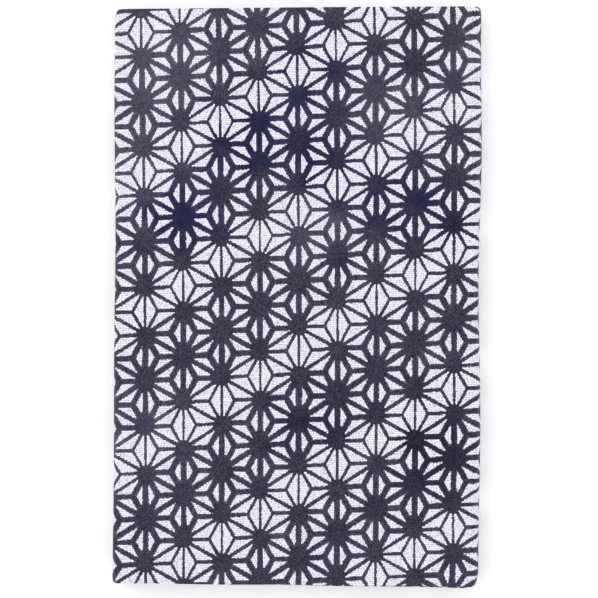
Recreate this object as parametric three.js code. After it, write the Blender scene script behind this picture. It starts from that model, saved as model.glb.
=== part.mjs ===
// A cotton hand towel, folded in half across its width and then halved three times along its length.
// It lies flat as a pad of eight doubled layers. Millimetres, +Z up, origin at the middle of its base.
// X runs across the pad, which is along the cloth, and Y runs along the pad, which is across the cloth.
import * as THREE from "three";

// Driving sizes
const PAD_WIDTH = 111.8;
const PAD_LENGTH = 175.7;
const LAYER = 1.0; // the cloth, doubled
const GAP = 0.3;

// Stack positions count from 0 on top
const PITCH = LAYER + GAP;
const LAYERS = 8;
const HALF_WIDTH = PAD_WIDTH / 2;
const OUTERMOST = HALF_WIDTH - LAYER / 2; // how far out the middle of the cloth reaches at a fold

// How much the pad's two short edges rise from left to right
const FAR_RISE = 1.3;
const NEAR_RISE = -0.75;

// The eight flat runs in order along the cloth, from its first cut end to its last.
// head and foot: how far the run's far and near edges stop short of the pad's;
// skew: how much more than the pad's they both rise
const RUNS = [
  { position: 7, head: 0.7, foot: 0.9, skew: -0.5 },
  { position: 0, head: 0.1, foot: 0.3, skew: 0.3 },
  { position: 3, head: 0.5, foot: 0.6, skew: -0.2 },
  { position: 4, head: 0.8, foot: 1.1, skew: 0.4 },
  { position: 5, head: 0.6, foot: 0.5, skew: -0.3 },
  { position: 2, head: 0.4, foot: 0.7, skew: 0.2 },
  { position: 1, head: 0.6, foot: 0.0, skew: -0.4 },
  { position: 6, head: 0.9, foot: 1.3, skew: 0.5 },
];

// The folds between one run and the next.
// side: 1 on the right edge, -1 on the left; inset: how far its outside lies inside the pad's edge;
// depth: how far back the bend starts;
// square: the power of its curve, 2 for an ellipse and more for a flatter side
const FOLDS = [
  { side: 1, inset: 0.0, depth: 2.5, square: 2.9, steps: 14 },
  { side: -1, inset: 0.0, depth: 1.9, square: 2.5, steps: 10 },
  { side: 1, inset: 4.4, depth: 0.8, square: 2.0, steps: 6 },
  { side: -1, inset: 0.6, depth: 0.8, square: 2.0, steps: 6 },
  { side: 1, inset: 2.9, depth: 1.8, square: 2.4, steps: 8 },
  { side: -1, inset: 1.5, depth: 0.8, square: 2.0, steps: 6 },
  { side: 1, inset: 1.4, depth: 2.2, square: 2.7, steps: 12 },
];

// How far each cut end stops short of the left edge
const FIRST_END_INSET = 2.6;
const LAST_END_INSET = 1.3;

// Mesh steps along a run and along the pad, and the places of closer steps, measured in from each short edge
const RUN_STEPS = 6;
const PAD_STEPS = 8;
const END_PLACES = [0.35, 1.6, 3.2, 4.8];

// Thickness of a layer at its short edges, as a share. It is whole again by the first of the closer steps.
const NOSE = 0.45;

// The pad's corners in plan, seen from above. radius: of the rounding;
// lean: how far the long edge comes in at the corner; reach: over what length it does
const CORNERS = {
  farLeft: { radius: 0.4, lean: 1.0, reach: 3.2 },
  farRight: { radius: 0.5, lean: 0.2, reach: 2.2 },
  nearLeft: { radius: 1.0, lean: 0.2, reach: 3.0 },
  nearRight: { radius: 0.9, lean: 0.9, reach: 4.8 },
};
const LEAN_CURVE = 1.3; // power of the lean along the long edge

// Soft unevenness of the stack: share is of the height, width is in millimetres, and waves count over the pad
const SWELLS = [
  { share: 0.022, across: 0.9, along: 0.6, phase: 0.4 },
  { share: 0.014, across: -1.3, along: 1.7, phase: 2.1 },
  { share: 0.009, across: 2.4, along: 2.9, phase: 4.0 },
];
const EDGE_WAVES = [
  { width: 0.1, waves: 0.8, phase: 0.9 },
  { width: 0.12, waves: 2.3, phase: 3.4 },
];

// The pad is drawn in a little round its middle
const WAIST = { left: 0.3, right: 0.6, middle: 5, reach: 27 };

// Power by which the shape of the long edges fades towards the pad's middle
const EDGE_FADE = 6;

const COTTON = { color: 0x6a6983, roughness: 0.92, metalness: 0 };

const mix = (from, to, share) => from + (to - from) * share;

function layerHeight(position) {
  return LAYER / 2 + (LAYERS - 1 - position) * PITCH;
}

// Where a fold's bend begins and ends, across the pad
function bendRoot(fold) {
  return fold.side * (OUTERMOST - fold.inset - fold.depth);
}

// Points of one bend, without the two that it shares with its runs
function bend(fold, index) {
  const start = layerHeight(RUNS[index].position);
  const end = layerHeight(RUNS[index + 1].position);
  const points = [];
  for (let step = 1; step < fold.steps; step += 1) {
    const angle = (step / fold.steps - 0.5) * Math.PI;
    const reach = Math.cos(angle) ** (2 / fold.square);
    const rise = Math.sign(angle) * Math.abs(Math.sin(angle)) ** (2 / fold.square);
    points.push({
      x: bendRoot(fold) + fold.side * fold.depth * reach,
      z: mix(start, end, (1 + rise) / 2),
      run: index + step / fold.steps,
    });
  }
  return points;
}

// The middle of the cloth in section, from its first cut end to its last
function centreLine() {
  const roots = [
    FIRST_END_INSET - HALF_WIDTH,
    ...FOLDS.map(bendRoot),
    LAST_END_INSET - HALF_WIDTH,
  ];
  return RUNS.flatMap(({ position }, index) => {
    const flat = Array.from({ length: RUN_STEPS + 1 }, (_, step) => ({
      x: mix(roots[index], roots[index + 1], step / RUN_STEPS),
      z: layerHeight(position),
      run: index,
    }));
    return index < FOLDS.length ? [...flat, ...bend(FOLDS[index], index)] : flat;
  });
}

// Adds each point's unit normal, on the left of the way along the line
function withNormals(line) {
  return line.map((point, index) => {
    const before = line[Math.max(index - 1, 0)];
    const after = line[Math.min(index + 1, line.length - 1)];
    const length = Math.hypot(after.x - before.x, after.z - before.z);
    return { ...point, normalX: -(after.z - before.z) / length, normalZ: (after.x - before.x) / length };
  });
}

// The corner that a place is nearest to
function cornerAt(x, y) {
  if (y > 0) return x < 0 ? CORNERS.farLeft : CORNERS.farRight;
  return x < 0 ? CORNERS.nearLeft : CORNERS.nearRight;
}

// How much a corner's rounding takes off a short edge at this distance across the pad
function cornerLoss(x, { radius }) {
  const into = Math.max(0, Math.abs(x) - (OUTERMOST - radius)) / radius;
  return radius * (1 - Math.sqrt(Math.max(0, 1 - into * into)));
}

// How far a corner's lean moves the long edge in
function cornerLean(x, y) {
  const { lean, reach } = cornerAt(x, y);
  const into = Math.max(0, Math.abs(y) - (PAD_LENGTH / 2 - reach)) / reach;
  return lean * into ** LEAN_CURVE;
}

// The far and near edges of the cloth at a point of the section
function edgesAt({ x, run }) {
  const from = RUNS[Math.floor(run)];
  const to = RUNS[Math.ceil(run)];
  const share = run - Math.floor(run);
  const value = (name) => mix(from[name], to[name], share);
  const rise = (padRise) => ((padRise + value("skew")) * x) / PAD_WIDTH;
  return {
    far: PAD_LENGTH / 2 - value("head") + rise(FAR_RISE) - cornerLoss(x, cornerAt(x, 1)),
    near: -PAD_LENGTH / 2 + value("foot") + rise(NEAR_RISE) + cornerLoss(x, cornerAt(x, -1)),
  };
}

// The stack's unevenness, which leaves its underside flat
function settle(x, y, z) {
  const across = (2 * Math.PI * x) / PAD_LENGTH;
  const along = (2 * Math.PI * y) / PAD_LENGTH;
  const swell = SWELLS.reduce(
    (sum, wave) => sum + wave.share * Math.sin(wave.across * across + wave.along * along + wave.phase),
    0,
  );
  const spread = EDGE_WAVES.reduce(
    (sum, wave) => sum + wave.width * Math.sin(wave.waves * along + wave.phase + Math.sign(x)),
    0,
  );
  const waist = (x < 0 ? WAIST.left : WAIST.right) * Math.exp(-(((y - WAIST.middle) / WAIST.reach) ** 2));
  const outward = (spread - waist - cornerLean(x, y)) * (x / HALF_WIDTH) ** EDGE_FADE;
  return [x + outward * Math.sign(x), y, z * (1 + swell)];
}

// Stations along the pad: share of the way from the near edge, millimetres from there,
// and share of the layer's thickness
function stations() {
  const station = (share, offset, thickness = 1) => ({ share, offset, thickness });
  const inner = Array.from({ length: PAD_STEPS - 1 }, (_, step) => station((step + 1) / PAD_STEPS, 0));
  return [
    station(0, 0, NOSE),
    ...END_PLACES.map((place) => station(0, place)),
    ...inner,
    ...END_PLACES.toReversed().map((place) => station(1, -place)),
    station(1, 0, NOSE),
  ];
}

// Two skins of points, one on each side of the centre line, closed by strips all round their edges
function clothGeometry() {
  const line = withNormals(centreLine());
  const rows = stations();
  const positions = [];
  for (const side of [1, -1]) {
    for (const point of line) {
      const { far, near } = edgesAt(point);
      for (const { share, offset, thickness } of rows) {
        const out = (side * thickness * LAYER) / 2;
        const y = mix(near, far, share) + offset;
        positions.push(...settle(point.x + point.normalX * out, y, point.z + point.normalZ * out));
      }
    }
  }

  const corner = (skin, place, row) => (skin * line.length + place) * rows.length + row;
  const lastPlace = line.length - 1;
  const lastRow = rows.length - 1;
  const faces = [];
  const quad = (a, b, c, d) => faces.push(a, b, c, a, c, d);
  for (let place = 0; place < lastPlace; place += 1) {
    const next = place + 1;
    for (let row = 0; row < lastRow; row += 1) {
      const above = row + 1;
      quad(corner(0, place, row), corner(0, next, row), corner(0, next, above), corner(0, place, above));
      quad(corner(1, place, row), corner(1, place, above), corner(1, next, above), corner(1, next, row));
    }
    quad(corner(0, place, 0), corner(1, place, 0), corner(1, next, 0), corner(0, next, 0));
    quad(
      corner(0, place, lastRow),
      corner(0, next, lastRow),
      corner(1, next, lastRow),
      corner(1, place, lastRow),
    );
  }
  for (let row = 0; row < lastRow; row += 1) {
    quad(corner(0, 0, row), corner(0, 0, row + 1), corner(1, 0, row + 1), corner(1, 0, row));
    quad(
      corner(0, lastPlace, row),
      corner(1, lastPlace, row),
      corner(1, lastPlace, row + 1),
      corner(0, lastPlace, row + 1),
    );
  }

  const geometry = new THREE.BufferGeometry();
  geometry.setAttribute("position", new THREE.Float32BufferAttribute(positions, 3));
  geometry.setIndex(faces);
  return geometry;
}

// Moves a shape so that the middle of its base is the origin
function standOnOrigin(geometry) {
  geometry.computeBoundingBox();
  const { min, max } = geometry.boundingBox;
  geometry.translate(-(min.x + max.x) / 2, -(min.y + max.y) / 2, -min.z);
  geometry.computeVertexNormals();
  return geometry;
}

const towel = new THREE.Mesh(standOnOrigin(clothGeometry()), new THREE.MeshStandardMaterial(COTTON));
towel.name = "folded_towel";

const part = new THREE.Group();
part.add(towel);

export default part;
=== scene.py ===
"""Dresses the folded hand towel: one sheet of thin printed cotton in sixteen plies, seen from above.

Sizes are in millimetres unless a name says otherwise, and the mesh is scaled to metres when it is made.
X runs across the pad, which is along the cloth, and Y runs along the pad, which is across the cloth.
"""

import math

import bpy
import numpy as np
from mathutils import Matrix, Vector


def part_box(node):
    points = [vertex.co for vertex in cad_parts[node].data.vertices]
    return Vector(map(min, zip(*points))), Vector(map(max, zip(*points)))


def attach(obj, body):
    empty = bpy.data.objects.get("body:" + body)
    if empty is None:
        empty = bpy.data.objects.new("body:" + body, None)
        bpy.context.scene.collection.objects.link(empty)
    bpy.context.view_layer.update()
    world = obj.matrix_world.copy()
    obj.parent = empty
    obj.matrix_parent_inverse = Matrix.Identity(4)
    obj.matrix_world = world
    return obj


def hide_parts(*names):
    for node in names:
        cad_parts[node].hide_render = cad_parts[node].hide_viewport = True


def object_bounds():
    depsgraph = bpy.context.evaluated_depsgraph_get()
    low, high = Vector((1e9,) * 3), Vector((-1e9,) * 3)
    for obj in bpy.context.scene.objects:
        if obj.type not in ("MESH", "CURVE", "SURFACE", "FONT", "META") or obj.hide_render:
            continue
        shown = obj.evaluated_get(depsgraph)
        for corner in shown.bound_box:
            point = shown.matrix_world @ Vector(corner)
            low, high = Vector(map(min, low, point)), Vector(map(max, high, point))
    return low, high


MM = 0.001
NODE = "folded_towel"

# The pad and its layers, as in the solid
PAD_WIDTH = 111.8
PAD_LENGTH = 175.7
LAYER = 1.0
GAP = 0.3
PITCH = LAYER + GAP
LAYERS = 8
HALF_WIDTH = PAD_WIDTH / 2
OUTERMOST = HALF_WIDTH - LAYER / 2  # how far out the middle of the cloth reaches at a fold

# How much the pad's two short edges rise from left to right
FAR_RISE = 1.3
NEAR_RISE = -0.75

# Each layer is two plies of cloth, this far from the layer's middle
PLY = 0.36
PLY_OFFSET = (LAYER - PLY) / 2

# The eight flat runs in order along the cloth. Stack positions count from 0 on top.
# head and foot: how far the run's far and near edges stop short of the pad's;
# skew: how much more than the pad's they both rise
RUN_COLUMNS = ("position", "head", "foot", "skew")
RUNS = [
    (7, 0.7, 0.9, -0.5),
    (0, 0.1, 0.3, 0.3),
    (3, 0.5, 0.6, -0.2),
    (4, 0.8, 1.1, 0.4),
    (5, 0.6, 0.5, -0.3),
    (2, 0.4, 0.7, 0.2),
    (1, 0.6, 0.0, -0.4),
    (6, 0.9, 1.3, 0.5),
]

# The folds between one run and the next, on the right (1) or left (-1) edge of the pad.
# inset: how far the outside lies inside the pad's edge; depth: how far back the bend starts;
# square: its curve's power; steps: mesh steps round it
FOLD_COLUMNS = ("side", "inset", "depth", "square", "steps")
FOLDS = [
    (1, 0.0, 2.5, 2.9, 28),
    (-1, 0.0, 1.9, 2.5, 22),
    (1, 4.4, 0.8, 2.0, 12),
    (-1, 0.6, 0.8, 2.0, 12),
    (1, 2.9, 1.8, 2.4, 16),
    (-1, 1.5, 0.8, 2.0, 12),
    (1, 1.4, 2.2, 2.7, 20),
]
FIRST_END_INSET = 2.6
LAST_END_INSET = 1.3

# The pad's corners in plan. radius: of the rounding; lean: how far the long edge comes in at the corner;
# reach: over what length it does
CORNERS = {
    "far left": {"radius": 0.4, "lean": 1.0, "reach": 3.2},
    "far right": {"radius": 0.5, "lean": 0.2, "reach": 2.2},
    "near left": {"radius": 1.0, "lean": 0.2, "reach": 3.0},
    "near right": {"radius": 0.9, "lean": 0.9, "reach": 4.8},
}
LEAN_CURVE = 1.3

# Mesh steps along a run, along a ply, and round the fold at the far edge
RUN_STEPS = 26
PLY_STEPS = 44
NOSE_STEPS = 8

# Soft unevenness of the whole stack: share of the height, waves across and along the pad, and phase
SWELLS = [(0.022, 0.9, 0.6, 0.4), (0.014, -1.3, 1.7, 2.1), (0.009, 2.4, 2.9, 4.0)]

# Waves of the pad's long edges: how wide, how many along the pad, and phase
EDGE_WAVES = [(0.1, 0.8, 0.9), (0.12, 2.3, 3.4)]

# The pad's long edges are drawn in a little, most at this middle and fading out over this reach
WAIST = {"left": 0.3, "right": 0.6, "middle": 5, "reach": 27}

# Power by which the shape of the long edges fades towards the pad's middle
EDGE_FADE = 6

# Ripples of single plies: height, wavelength along the cloth, wavelength across it, and phase.
# The shift is in phase, between a layer's middle and either of its plies.
PLY_RIPPLES = [(0.03, 61, 83, 0.3), (0.02, 37, -47, 1.9)]
PLY_RIPPLE_SHIFT = 1.7

# Near the selvedges, over the reach, the plies ripple more, and their edge waves to and fro in plan
SELVEDGE_RIPPLE = {"height": 0.06, "length": 29, "reach": 12, "shift": 2.6}
SELVEDGE_WAVE = {"height": 0.1, "length": 41}

# How far the inner ply's selvedge stops short of the outer ply's
SELVEDGE_STEP = 0.6

# The star lattice of the print, on the cloth with its face up and the pad's middle as its origin.
# Its cell's area counts below 0, because the rows go down.
LATTICE_ORIGIN = (0.0, 46.99)
COLUMN_STEP = (11.637, 7.698)
ROW_STEP = (0.115, -14.061)
DIAGONAL_STEP = (COLUMN_STEP[0] + ROW_STEP[0], COLUMN_STEP[1] + ROW_STEP[1])
CELL_AREA = COLUMN_STEP[0] * ROW_STEP[1] - COLUMN_STEP[1] * ROW_STEP[0]
ROWS_IN_REPEAT = 3

# Widths of the lines, how round the corners between them are, and half the width of their soft edges
THICK_LINE = {"upright": 1.86, "rise": 1.78, "fall": 1.61, "spoke": 1.92, "level spoke": 1.71}
THIN_LINE = {"upright": 0.79, "rise": 1.18, "fall": 1.18, "spoke": 0.98, "level spoke": 1.20}
TIP_ROUNDING = 0.5
INK_EDGE = 0.07

# The ink is thinner within this reach of a line's edge, and thinnest at the edge itself, by this share.
# Round each star it stays stronger, out to this far beyond the star's disc.
INK_THINNING_REACH = 1.0
INK_THINNING = 0.57
HEAVY_INK_REACH = 1.9

# Ink fills each star's middle, and has spread between the thick lines above it, at this height over it
STAR_RADIUS = 2.42
SPREAD_RADIUS = 1.65
SPREAD_HEIGHT = 3.15

# How handling has pulled the print on the pad's face, which counts as 1 from its middle to each edge
PULL_ACROSS = {
    "across": 0.18,
    "across squared": 0.33,
    "along": 0.07,
    "along squared": -0.46,
    "along cubed": -0.20,
    "twist": 0.48,
}
PULL_ALONG = {
    "across squared": 0.16,
    "along": 0.41,
    "along squared": 0.38,
    "along cubed": -0.39,
    "twist": 0.45,
}

# The plain weave: distances between warp threads and between weft threads
WARP_PITCH = 0.56
WEFT_PITCH = 0.455

# How far, in threads, all warp threads and all weft threads wander, and how far each does by itself
WARP_WANDER = 0.35
WEFT_WANDER = 0.4
THREAD_WANDER = 0.22

# Cotton fibres make flecks finer than a thread crossing, this many to each.
# In bare cotton only those over this value show, and they are dark.
FLECKS_ALONG_WEFT = 2.0
FLECKS_ALONG_WARP = 2.4
FLECK_SHOWS_OVER = 0.4

# How far the edge of the ink follows whole threads, as a share of one; creeps by chance at each crossing;
# and drifts in and out along the lines
THREAD_STEP = 0.4
INK_CREEP = 0.09
INK_DRIFT = 0.14

# Kinds of noise in the cloth. along, across: size of its grains along the cloth and across it
NOISE_COLUMNS = ("along", "across", "detail", "seed")
NOISES = {
    "warp": (6.0, 0.6, 2.0, 1.0),
    "weft": (0.65, 5.0, 2.0, 2.0),
    "wander": (9.0, 9.0, 2.0, 3.0),
    "drift": (12.0, 12.0, 1.0, 5.0),
    "blotch": (9.0, 7.0, 3.0, 7.0),
    "haze": (14.0, 17.0, 3.0, 6.0),
}
CHANCE_SEEDS = {"crossing": 1.0, "creep": 2.0, "fleck": 3.0}

# Colours, linear, and the floor's own light
WHITE_COTTON = (0.733, 0.728, 0.826)
VIOLET_INK = (0.0435, 0.0397, 0.0632)
NAVY_INK = (0.0095, 0.0098, 0.050)
FLOOR_WHITE = (0.93, 0.93, 0.935)
FLOOR_GLOW = 0.18

# Where the dye has taken unevenly on the pad's face, and where painted glare makes it partly paler: place,
# reach, how much bluer, and how much paler
PATCH_COLUMNS = ("x", "y", "reach", "navy", "paler_and_glare")
INK_PATCHES = [
    (10, 65, 50, -0.05, 0.16),
    (7, 68, 12, 0.60, -0.05),
    (-17, 49, 13, 0.85, -0.20),
    (-35, 24, 11, 0.90, -0.20),
    (7, 40, 13, 0.60, -0.25),
    (32, 31, 12, 0.50, -0.15),
    (48, 22, 12, 0.50, -0.15),
    (4, 22, 11, -0.05, 0.60),
    (30, 58, 17, -0.10, 0.42),
    (51, 70, 11, 0.00, 0.35),
    (36, 72, 8, 0.15, -0.50),
    (-52, 34, 20, -0.15, 0.52),
    (-42, 72, 20, -0.25, 0.60),
    (-50, -44, 15, -0.10, 0.55),
    (8, -38, 12, 0.45, -0.25),
    (40, -47, 14, 0.45, -0.60),
    (23, -46, 9, -0.35, 0.35),
]

# How far noise bends the patches' edges
PATCH_BEND = 6.0

# How far the ink is navy, from 0 to 1, and how pale it is, besides the patches
EVEN_NAVY = 0.25
NAVY_WEIGHTS = {"blotch": 0.4, "haze": 0.2}
PALE_WEIGHTS = {"haze": 0.2}

# Brightness of the bare cotton and of the ink: an even share, and what the weave adds to it.
# Of that, the check of the threads and the darkening in their gaps are painted shade
EVEN_SHADE = 1.27
SHADE_WEIGHTS = {
    "check shade": 0.13,
    "chance": 0.16,
    "yarns": 0.06,
    "dark fleck": -1.1,
    "gap_shade": -1.2,
    "gap by chance": -1.2,
}
EVEN_STAIN = 0.95
LEAST_STAIN = 0.1
# Painted shade that darkens the ink in the gaps between threads
GAP_SHADE_ON_INK = -0.3
STAIN_AND_SHADE_WEIGHTS = {"check shade": 0.4, "chance": 0.15, "fleck": 0.9, "yarns": 0.2}

# Where the ink is thinner it is more uneven too, this many times as much
THIN_UNEVENNESS = 1.6

# The cotton's surface and relief
COTTON_SURFACE = {
    "Roughness": 0.92,
    "Specular IOR Level": 0.2,
    "Sheen Weight": 0.12,
    "Sheen Roughness": 0.6,
}
RELIEF_DEPTH = 0.1
RELIEF_STRENGTH = 0.5
YARN_RELIEF = 0.5

# Two numbers of the lattice closer than this are the same
SAME_WITHIN = 0.001

# The camera looks straight down, with the face's middle a little off the picture's
PICTURE_PIXELS = 598
PIXELS_PER_MM = 3.30
FACE_MIDDLE_PIXEL = (297.4, 296.5)
CAMERA_ROLL_DEG = 0.33
LENS_MM = 100
SENSOR_MM = 36
NEAREST_SEEN_M = 0.01

# The studio, in metres and watts
FLOOR_SIZE_M = 6
FLOOR_SURFACE = {"Roughness": 0.9, "Specular IOR Level": 0.1}
WORLD_LIGHT = 0.97
LAMP_PLACE_M = (-0.5, 0.5, 1.0)
LAMP_SIZE_M = 1.1
LAMP_WATTS = 2.5


def named_rows(columns, rows):
    return [dict(zip(columns, row)) for row in rows]


RUN_ROWS = named_rows(RUN_COLUMNS, RUNS)
FOLD_ROWS = named_rows(FOLD_COLUMNS, FOLDS)
PATCH_ROWS = named_rows(PATCH_COLUMNS, INK_PATCHES)


def layer_height(position):
    return LAYER / 2 + (LAYERS - 1 - position) * PITCH


def bend_root(fold):
    """Where a fold's bend begins and ends, across the pad."""
    return fold["side"] * (OUTERMOST - fold["inset"] - fold["depth"])


def bend(fold, index):
    """Points (x, z, run) of one bend, without the two that it shares with its runs."""
    start = layer_height(RUN_ROWS[index]["position"])
    end = layer_height(RUN_ROWS[index + 1]["position"])
    points = []
    for step in range(1, fold["steps"]):
        angle = (step / fold["steps"] - 0.5) * math.pi
        reach = math.cos(angle) ** (2 / fold["square"])
        rise = math.copysign(abs(math.sin(angle)) ** (2 / fold["square"]), angle)
        x = bend_root(fold) + fold["side"] * fold["depth"] * reach
        points.append((x, start + (end - start) * (1 + rise) / 2, index + step / fold["steps"]))
    return points


def centre_line():
    """The middle of the doubled cloth in section, as columns x, z and run."""
    roots = [FIRST_END_INSET - HALF_WIDTH, *map(bend_root, FOLD_ROWS), LAST_END_INSET - HALF_WIDTH]
    points = []
    for index, run in enumerate(RUN_ROWS):
        height = layer_height(run["position"])
        for x in np.linspace(roots[index], roots[index + 1], RUN_STEPS + 1):
            points.append((x, height, index))
        if index < len(FOLD_ROWS):
            points += bend(FOLD_ROWS[index], index)
    return np.array(points).T


def run_value(name, run):
    """A column of the run table along the line, blended through the bends."""
    return np.interp(run, range(len(RUN_ROWS)), [row[name] for row in RUN_ROWS])


def corner_value(name, x, y):
    """A number of the corner that each place is nearest to."""
    far = np.where(x < 0, CORNERS["far left"][name], CORNERS["far right"][name])
    near = np.where(x < 0, CORNERS["near left"][name], CORNERS["near right"][name])
    return np.where(y > 0, far, near)


def corner_loss(x, end):
    """How much the corners' rounding takes off the far (1) or near (-1) edge, this far across the pad."""
    radius = corner_value("radius", x, end)
    into = np.maximum(0, np.abs(x) - (OUTERMOST - radius)) / radius
    return radius * (1 - np.sqrt(np.maximum(0, 1 - into**2)))


def corner_lean(x, y):
    """How far a corner's lean moves the long edge in."""
    reach = corner_value("reach", x, y)
    into = np.maximum(0, np.abs(y) - (PAD_LENGTH / 2 - reach)) / reach
    return corner_value("lean", x, y) * into**LEAN_CURVE


def settle(x, z, y):
    """The stack's unevenness, which leaves its underside flat."""
    across, along = (2 * math.pi * value / PAD_LENGTH for value in (x, y))
    swell = sum(share * np.sin(a * across + b * along + phase) for share, a, b, phase in SWELLS)
    spread = sum(
        width * np.sin(waves * along + phase + np.sign(x)) for width, waves, phase in EDGE_WAVES
    )
    drawn_in = np.where(x < 0, WAIST["left"], WAIST["right"])
    waist = drawn_in * np.exp(-(((y - WAIST["middle"]) / WAIST["reach"]) ** 2))
    outward = (spread - waist - corner_lean(x, y)) * (x / HALF_WIDTH) ** EDGE_FADE
    return x + outward * np.sign(x), z * (1 + swell)


def section():
    """The centre line as columns: x, z, run, length along the cloth, and x and z of the unit normal."""
    x, z, run = centre_line()
    tangent = np.gradient(np.array((x, z)), axis=1)
    tangent /= np.hypot(*tangent)
    arc = np.concatenate(([0], np.cumsum(np.hypot(np.diff(x), np.diff(z)))))
    return np.array((x, z, run, arc, -tangent[1], tangent[0]))[..., None]


def short_edges(x, run, arc):
    """Where the fold at the far edge begins, and where the selvedges lie, along the pad."""
    skew = run_value("skew", run)
    far_rise = (FAR_RISE + skew) * x / PAD_WIDTH
    near_rise = (NEAR_RISE + skew) * x / PAD_WIDTH
    selvedge = SELVEDGE_WAVE["height"] * np.sin(2 * math.pi * arc / SELVEDGE_WAVE["length"])
    far = PAD_LENGTH / 2 - run_value("head", run) + far_rise - corner_loss(x, 1) - PLY_OFFSET - PLY / 2
    near = -PAD_LENGTH / 2 + run_value("foot", run) + near_rise + corner_loss(x, -1) + selvedge
    return far, near


def stations():
    """Places across the cloth: up the outer ply, round the fold at the far edge, and back down the inner.

    Gives each one's angle round the fold, and its share of the way from there to the selvedge.
    They lie closer near both edges.
    """
    shares = (1 - np.cos(np.linspace(0, math.pi, PLY_STEPS + 1))) / 2
    turns = np.linspace(0, math.pi, NOSE_STEPS + 1)[1:-1]
    turn = np.concatenate((0 * shares, turns, math.pi + 0 * shares))
    from_fold = np.concatenate((1 - shares, 0 * turns, shares))
    return turn, from_fold


def ripples(arc, y, near, side):
    """How far each ply waves up and down, which is more near the selvedges."""
    waves = sum(
        height * np.sin(2 * math.pi * (arc / length + y / width) + phase + PLY_RIPPLE_SHIFT * side)
        for height, length, width, phase in PLY_RIPPLES
    )
    loose = np.exp(-(y - near) / SELVEDGE_RIPPLE["reach"])
    return waves + SELVEDGE_RIPPLE["height"] * loose * np.sin(
        2 * math.pi * arc / SELVEDGE_RIPPLE["length"] + SELVEDGE_RIPPLE["shift"] * side
    )


def cloth_skins():
    """Points of the cloth's two skins, as [skin, along the cloth, across it, xyz], and places on it."""
    x, z, run, arc, normal_x, normal_z = section()
    far, near = short_edges(x, run, arc)
    turn, from_fold = stations()
    side = np.cos(turn)
    on_inner = turn > math.pi / 2
    flat_length = far - near - SELVEDGE_STEP * on_inner
    root_y = far - from_fold * flat_length
    waves = ripples(arc, root_y, near, side)

    skins = []
    for skin in (1, -1):
        radius = PLY_OFFSET + skin * PLY / 2
        out = -radius * side + waves * np.abs(side)
        y = root_y + radius * np.sin(turn)
        skin_x, skin_z = settle(x + normal_x * out, z + normal_z * out, y)
        skins.append(np.stack((skin_x, y, skin_z), axis=-1))

    face_middle = np.interp(0, -x[run == 1], arc[run == 1])
    cloth_u = np.broadcast_to(face_middle - arc, root_y.shape)
    past_fold = PLY_OFFSET * turn + from_fold * flat_length * on_inner
    cloth_v = np.where(turn == 0, root_y, far + past_fold)
    return np.array(skins), np.stack((cloth_u, cloth_v), axis=-1)


def grid_faces(shape):
    """Quads that close two grids of points into one thick sheet."""
    skins, rows, columns = shape
    number = np.arange(skins * rows * columns).reshape(shape)

    def quads(a, b, c, d):
        return np.stack((a, b, c, d), axis=-1).reshape(-1, 4)

    top, under = number
    rim = [
        quads(top[:-1, 0], under[:-1, 0], under[1:, 0], top[1:, 0]),
        quads(top[:-1, -1], top[1:, -1], under[1:, -1], under[:-1, -1]),
        quads(top[0, :-1], top[0, 1:], under[0, 1:], under[0, :-1]),
        quads(top[-1, :-1], under[-1, :-1], under[-1, 1:], top[-1, 1:]),
    ]
    return np.concatenate(
        [
            quads(top[:-1, :-1], top[1:, :-1], top[1:, 1:], top[:-1, 1:]),
            quads(under[:-1, :-1], under[:-1, 1:], under[1:, 1:], under[1:, :-1]),
            *rim,
        ]
    )


def cloth_mesh():
    """The sheet as one closed mesh, with its places on the flat cloth as its UV map."""
    skins, places = cloth_skins()
    points = skins.reshape(-1, 3) * MM
    low, high = (np.array(corner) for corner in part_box(NODE))
    middle = (points.min(axis=0) + points.max(axis=0)) / 2
    points += [*((low + high) / 2 - middle)[:2], low[2] - points[:, 2].min()]
    faces = grid_faces(skins.shape[:3])

    mesh = bpy.data.meshes.new("towel_cloth")
    mesh.from_pydata(points.tolist(), [], faces.tolist())
    place = np.concatenate((places.reshape(-1, 2),) * 2)
    corners = place[faces.ravel()].ravel().astype(np.float32)
    mesh.uv_layers.new(name="cloth_mm").uv.foreach_set("vector", corners)
    mesh.polygons.foreach_set("use_smooth", [True] * len(faces))
    mesh.validate()
    mesh.update()
    return mesh


class Value:
    """A number worked out by a material's nodes, written as plain arithmetic."""

    def __init__(self, tree, socket):
        self.tree = tree
        self.socket = socket

    def math(self, operation, *others):
        node = self.tree.nodes.new("ShaderNodeMath")
        node.operation = operation
        for slot, value in enumerate((self, *others)):
            if isinstance(value, Value):
                self.tree.links.new(value.socket, node.inputs[slot])
            else:
                node.inputs[slot].default_value = value
        return Value(self.tree, node.outputs[0])

    def __add__(self, other):
        return self.math("ADD", other)

    def __sub__(self, other):
        return self.math("SUBTRACT", other)

    def __mul__(self, other):
        return self.math("MULTIPLY", other)

    def flipped(self):
        """One less this."""
        return (self * -1) + 1

    def least(self, other):
        return self.math("MINIMUM", other)

    def most(self, other):
        return self.math("MAXIMUM", other)

    def joined(self, other):
        """The lesser of two distances, with their corner rounded."""
        return self.math("SMOOTH_MIN", other, TIP_ROUNDING)

    def size(self):
        return self.math("ABSOLUTE")

    def whole(self):
        return self.math("FLOOR")

    def nearest(self):
        return self.math("ROUND")

    def sine(self):
        return self.math("SINE")

    def root(self):
        return self.math("SQRT")

    def is_(self, other):
        return self.math("COMPARE", other, SAME_WITHIN)

    def choose(self, when_one, when_zero):
        """One of two numbers, by a value that is 1 or 0."""
        if isinstance(when_one, Value) or isinstance(when_zero, Value):
            return self * when_one + self.flipped() * when_zero
        return self * (when_one - when_zero) + when_zero


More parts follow.
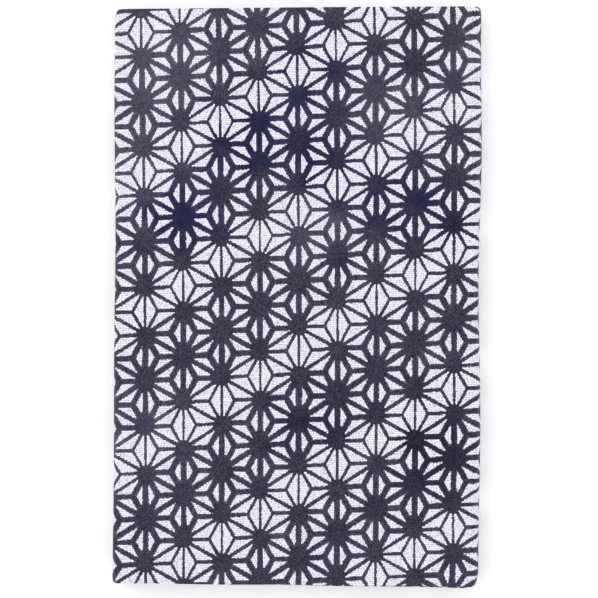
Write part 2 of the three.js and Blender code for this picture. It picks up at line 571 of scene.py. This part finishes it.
def add_node(tree, kind, inputs=None, **settings):
    """Makes a node, with its settings, and sets or links its inputs by name."""
    node = tree.nodes.new(kind)
    for name, value in settings.items():
        setattr(node, name, value)
    for name, value in (inputs or {}).items():
        if isinstance(value, Value):
            tree.links.new(value.socket, node.inputs[name])
        elif isinstance(value, bpy.types.NodeSocket):
            tree.links.new(value, node.inputs[name])
        else:
            node.inputs[name].default_value = value
    return node


def mixed_colour(tree, factor, first, second):
    """The socket of a blend of two colours, each given as numbers or as a socket."""
    node = tree.nodes.new("ShaderNodeMix")
    node.data_type = "RGBA"
    sockets = {socket.identifier: socket for socket in (*node.inputs, *node.outputs)}
    tree.links.new(factor, sockets["Factor_Float"])
    for name, colour in (("A_Color", first), ("B_Color", second)):
        if isinstance(colour, bpy.types.NodeSocket):
            tree.links.new(colour, sockets[name])
        else:
            sockets[name].default_value = (*colour, 1)
    return sockets["Result_Color"]


def scaled(colour, factor):
    """The socket of a colour, given as numbers or as a socket, times a value."""
    inputs = {0: colour, "Scale": factor}
    return add_node(factor.tree, "ShaderNodeVectorMath", inputs, operation="SCALE").outputs[0]


def cloth_place(tree):
    """The place on the flat cloth, as two values in millimetres."""
    place = add_node(tree, "ShaderNodeUVMap", uv_map="cloth_mm")
    parts = add_node(tree, "ShaderNodeSeparateXYZ", {"Vector": place.outputs["UV"]})
    return Value(tree, parts.outputs["X"]), Value(tree, parts.outputs["Y"])


def weighted(values, weights):
    """The sum of some named values, each times its weight."""
    total = None
    for name, weight in weights.items():
        part = values[name] * weight
        total = part if total is None else total + part
    return total


def noise(u, v, kind):
    """Noise from about -1 to 1, of one of the kinds in the table."""
    tree = u.tree
    look = dict(zip(NOISE_COLUMNS, NOISES[kind]))
    grains = {"X": u * (1 / look["along"]), "Y": v * (1 / look["across"]), "Z": look["seed"]}
    place = add_node(tree, "ShaderNodeCombineXYZ", grains)
    inputs = {"Vector": place.outputs[0], "Scale": 1.0, "Detail": look["detail"]}
    node = add_node(tree, "ShaderNodeTexNoise", inputs, normalize=False)
    return Value(tree, node.outputs[0])


def crossing_chance(weft_count, warp_count, kind):
    """A number from -1 to 1 by chance for each crossing of two threads."""
    tree = weft_count.tree
    inputs = {"X": weft_count.whole(), "Y": warp_count.whole(), "Z": CHANCE_SEEDS[kind]}
    place = add_node(tree, "ShaderNodeCombineXYZ", inputs)
    node = add_node(tree, "ShaderNodeTexWhiteNoise", {"Vector": place.outputs[0]}, noise_dimensions="3D")
    return Value(tree, node.outputs["Value"]) * 2 - 1


def patches(u, v, name):
    """The sum of one column of the table of patches at a place. Each patch fades out from its middle."""
    total = None
    for patch in PATCH_ROWS:
        x = (u - patch["x"]) * (1 / patch["reach"])
        y = (v - patch["y"]) * (1 / patch["reach"])
        amount = ((x * x + y * y) * -1).math("EXPONENT") * patch[name]
        total = amount if total is None else total + amount
    return total


def unpulled(u, v):
    """The place in the print before the cloth was pulled. Beyond the face the pull stays as at its edge."""
    across = (u * (1 / HALF_WIDTH)).least(1).most(-1)
    along = (v * (2 / PAD_LENGTH)).least(1).most(-1)
    terms = {
        "across": across,
        "along": along,
        "across squared": across * across,
        "along squared": along * along,
        "along cubed": along * along * along,
        "twist": across * along,
    }
    return u - weighted(terms, PULL_ACROSS), v - weighted(terms, PULL_ALONG)


def half_width(thin, kind):
    return thin.choose(THIN_LINE[kind] / 2, THICK_LINE[kind] / 2)


def lattice_place(u, v):
    """The place in the lattice, in columns and rows from its origin."""
    x = u - LATTICE_ORIGIN[0]
    y = v - LATTICE_ORIGIN[1]
    column = x * (ROW_STEP[1] / CELL_AREA) - y * (ROW_STEP[0] / CELL_AREA)
    row = y * (COLUMN_STEP[0] / CELL_AREA) - x * (COLUMN_STEP[1] / CELL_AREA)
    return column, row


def line_distance(steps, edge, thin, kind):
    """How far a place lies outside the nearest of the lines along one edge of the lattice's triangles.

    A whole number of steps is on a line.
    """
    height = abs(CELL_AREA) / math.hypot(*edge)
    return (steps - steps.nearest()).size() * height - half_width(thin, kind)


def spoke_distance(column, row, thin):
    """How far a place lies outside the nearest spoke, which joins a triangle's corner to its middle.

    The triangle's three corner weights say which one is nearest.
    """
    part_column = column.math("FRACT")
    part_row = row.math("FRACT")
    high = part_column.most(part_row)
    low = part_column.least(part_row)
    weights = (high.flipped(), high - low, low)
    largest = weights[0].most(weights[1]).most(weights[2])
    smallest = weights[0].least(weights[1]).least(weights[2])
    spread = largest.flipped() - smallest * 2
    on_right = part_column.math("GREATER_THAN", part_row)
    level = on_right.choose(part_column.flipped(), part_column).is_(largest)
    spoke_width = level.choose(half_width(thin, "level spoke"), half_width(thin, "spoke"))
    mean_edge = sum(math.hypot(*edge) for edge in (COLUMN_STEP, ROW_STEP, DIAGONAL_STEP)) / 3
    return spread * (mean_edge / 2) - spoke_width


def star_distances(column, row, thin):
    """How far a place lies outside the nearest star's disc, and outside the ink that has spread above it.

    In the thin band the ink hasn't spread.
    """
    off_column = column - column.nearest()
    off_row = row - row.nearest()
    x = off_column * COLUMN_STEP[0] + off_row * ROW_STEP[0]
    y = off_column * COLUMN_STEP[1] + off_row * ROW_STEP[1]
    above = y - SPREAD_HEIGHT
    star = (x * x + y * y).root() - STAR_RADIUS
    spread = (x * x + above * above).root() - SPREAD_RADIUS + thin * SPREAD_HEIGHT
    return star, spread


def ink_distance(u, v):
    """How far a place lies outside the print, and outside a star's disc, or below 0 inside."""
    column, row = lattice_place(u, v)

    # Every third band of the lattice is thin, and the rising lines are thick only at the top of the next
    thin = row.whole().math("FLOORED_MODULO", ROWS_IN_REPEAT).is_(1)
    thin_rise = row.nearest().math("FLOORED_MODULO", ROWS_IN_REPEAT).is_(0).flipped()
    upright = line_distance(column, ROW_STEP, thin, "upright")
    rise = line_distance(row, COLUMN_STEP, thin_rise, "rise")
    fall = line_distance(column - row, DIAGONAL_STEP, thin, "fall")
    spoke = spoke_distance(column, row, thin)
    star, spread = star_distances(column, row, thin)
    return upright.joined(rise).joined(fall).joined(spoke).joined(star).joined(spread), star


def woven(u, v):
    """The plain weave at a place, as named values."""
    # Yarns wander, and each is thick and thin along its length
    warp = noise(u, v, "warp")
    weft = noise(u, v, "weft")
    wander = noise(u, v, "wander")
    yarns = warp * 0.5 + weft * 0.5
    weft_count = u * (1 / WEFT_PITCH) + wander * WEFT_WANDER + warp * THREAD_WANDER
    warp_count = v * (1 / WARP_PITCH) + wander * WARP_WANDER + weft * THREAD_WANDER

    # Counts of threads say where one lies over another, as a check of higher and lower places,
    # and where four leave a gap. In the colour both are painted shade: alternate crossings lit and shaded,
    # and the gaps darker
    across_weft = (weft_count * math.pi).sine()
    across_warp = (warp_count * math.pi).sine()
    gap_shade = across_weft.size().flipped() * across_warp.size().flipped()
    chance = crossing_chance(weft_count, warp_count, "crossing")
    fleck = crossing_chance(weft_count * FLECKS_ALONG_WEFT, warp_count * FLECKS_ALONG_WARP, "fleck")
    return {
        "weft count": weft_count,
        "warp count": warp_count,
        "height": across_weft.size() * across_warp.size() + yarns * YARN_RELIEF,
        "check shade": across_weft * across_warp,
        "chance": chance,
        "yarns": yarns,
        "fleck": fleck,
        "dark fleck": (fleck - FLECK_SHOWS_OVER).most(0),
        "gap_shade": gap_shade,
        "gap by chance": gap_shade * chance,
    }


def dyed_distance(u, v, weave):
    """How far a place lies outside the ink as the threads took it, and outside a star's disc.

    Each crossing of threads takes ink or not, so the lines step along the weave and are a little uneven.
    """
    weft_count = weave["weft count"]
    warp_count = weave["warp count"]
    inked_u = u + (weft_count.whole() - weft_count + 0.5) * (WEFT_PITCH * THREAD_STEP)
    inked_v = v + (warp_count.whole() - warp_count + 0.5) * (WARP_PITCH * THREAD_STEP)
    creep = crossing_chance(weft_count, warp_count, "creep") * INK_CREEP
    drift = noise(u, v, "drift") * INK_DRIFT
    from_lines, from_star = ink_distance(*unpulled(inked_u, inked_v))
    return from_lines + creep + drift, from_star


def ink_colour(u, v, weave, distance, from_star):
    """The socket of the ink's colour, from violet-grey to navy, in patches with wandering edges."""
    clouds = {"blotch": noise(u, v, "blotch"), "haze": noise(u, v, "haze")}
    patch_u = u + clouds["blotch"] * PATCH_BEND
    patch_v = v + clouds["haze"] * PATCH_BEND
    tone = patches(patch_u, patch_v, "navy") + weighted(clouds, NAVY_WEIGHTS) + EVEN_NAVY
    # Paler in places, partly because glare is painted in
    paler_and_glare = patches(patch_u, patch_v, "paler_and_glare") + weighted(clouds, PALE_WEIGHTS)
    ink = mixed_colour(u.tree, tone.least(1).most(0).socket, VIOLET_INK, NAVY_INK)

    # The ink is thinner and more uneven at the edges of the lines, but strong round each star
    shallow = distance.least(from_star - HEAVY_INK_REACH)
    thinning = (shallow * (1 / INK_THINNING_REACH) + 1).most(0) * INK_THINNING
    # Painted shade darkens the ink too: on alternate thread crossings, and in the gaps between threads
    uneven = weighted(weave, STAIN_AND_SHADE_WEIGHTS) * (thinning * THIN_UNEVENNESS + 1)
    stain_shade_and_glare = uneven + weave["gap_shade"] * GAP_SHADE_ON_INK + paler_and_glare + thinning + EVEN_STAIN
    return scaled(ink, stain_shade_and_glare.most(LEAST_STAIN))


def cotton_print():
    """Thin plain-woven cotton, white, with the star lattice dyed through it in uneven navy ink."""
    material = bpy.data.materials.new("printed_cotton")
    material.use_nodes = True
    tree = material.node_tree
    tree.nodes.clear()
    u, v = cloth_place(tree)
    weave = woven(u, v)
    distance, from_star = dyed_distance(u, v, weave)
    inked = add_node(
        tree,
        "ShaderNodeMapRange",
        {"Value": distance, "From Min": INK_EDGE, "From Max": -INK_EDGE},
        interpolation_type="SMOOTHSTEP",
    )

    # White yarns, with painted shade on alternate crossings and in their gaps, and the ink over them
    bare = scaled(WHITE_COTTON, weighted(weave, SHADE_WEIGHTS) + EVEN_SHADE)
    dyed = ink_colour(u, v, weave, distance, from_star)
    colour = mixed_colour(tree, inked.outputs[0], bare, dyed)
    relief = {"Height": weave["height"], "Strength": RELIEF_STRENGTH, "Distance": RELIEF_DEPTH * MM}
    bump = add_node(tree, "ShaderNodeBump", relief)
    surface = {"Base Color": colour, "Normal": bump.outputs["Normal"], **COTTON_SURFACE}
    shader = add_node(tree, "ShaderNodeBsdfPrincipled", surface)
    output = tree.nodes.new("ShaderNodeOutputMaterial")
    tree.links.new(shader.outputs[0], output.inputs["Surface"])
    return material


def floor_paint():
    """A plain matt surface, nearly white. A little light of its own keeps the towel's shadow faint."""
    material = bpy.data.materials.new("floor_white")
    material.use_nodes = True
    shader = material.node_tree.nodes["Principled BSDF"]
    shader.inputs["Base Color"].default_value = (*FLOOR_WHITE, 1)
    for name, value in FLOOR_SURFACE.items():
        shader.inputs[name].default_value = value
    shader.inputs["Emission Color"].default_value = (1, 1, 1, 1)
    shader.inputs["Emission Strength"].default_value = FLOOR_GLOW
    return material


def add_object(name, data):
    thing = bpy.data.objects.new(name, data)
    bpy.context.scene.collection.objects.link(thing)
    return thing


def add_towel():
    towel = add_object("towel_cloth", cloth_mesh())
    towel.data.materials.append(cotton_print())
    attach(towel, "root")
    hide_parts(NODE)


def add_floor():
    half = FLOOR_SIZE_M / 2
    mesh = bpy.data.meshes.new("floor")
    corners = [(-half, -half, 0), (half, -half, 0), (half, half, 0), (-half, half, 0)]
    mesh.from_pydata(corners, [], [(0, 1, 2, 3)])
    mesh.materials.append(floor_paint())
    add_object("floor", mesh)


def add_camera(face_height):
    """A camera straight above, at the picture's scale on the pad's upper face."""
    data = bpy.data.cameras.new("camera")
    data.lens = LENS_MM
    data.sensor_width = SENSOR_MM
    camera = add_object("camera", data)
    picture_width = PICTURE_PIXELS / PIXELS_PER_MM
    middle = PICTURE_PIXELS / 2
    right = (middle - FACE_MIDDLE_PIXEL[0]) / PIXELS_PER_MM
    up = (FACE_MIDDLE_PIXEL[1] - middle) / PIXELS_PER_MM
    distance = picture_width * LENS_MM / SENSOR_MM
    camera.location = (right * MM, up * MM, distance * MM + face_height)
    camera.rotation_euler = (0, 0, math.radians(CAMERA_ROLL_DEG))
    data.clip_start = NEAREST_SEEN_M
    bpy.context.scene.camera = camera


def add_lights():
    """Even white light all round, with one broad soft lamp above the far left corner."""
    world = bpy.data.worlds.new("studio")
    world.use_nodes = True
    background = world.node_tree.nodes["Background"]
    background.inputs["Color"].default_value = (1, 1, 1, 1)
    background.inputs["Strength"].default_value = WORLD_LIGHT
    bpy.context.scene.world = world

    data = bpy.data.lights.new("soft_lamp", "AREA")
    data.shape = "DISK"
    data.size = LAMP_SIZE_M
    data.energy = LAMP_WATTS
    lamp = add_object("soft_lamp", data)
    lamp.location = LAMP_PLACE_M
    lamp.rotation_euler = (-Vector(LAMP_PLACE_M)).to_track_quat("-Z", "Y").to_euler()


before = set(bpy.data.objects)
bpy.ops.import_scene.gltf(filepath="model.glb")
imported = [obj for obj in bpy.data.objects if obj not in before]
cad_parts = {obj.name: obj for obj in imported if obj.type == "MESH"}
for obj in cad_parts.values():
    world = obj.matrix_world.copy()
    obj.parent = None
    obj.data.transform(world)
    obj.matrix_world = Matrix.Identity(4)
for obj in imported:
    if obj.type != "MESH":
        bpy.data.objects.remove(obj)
cad_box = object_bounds()
bpy.context.scene.view_settings.view_transform = "Standard"

add_camera(cad_box[1].z)
add_towel()
add_floor()
add_lights()
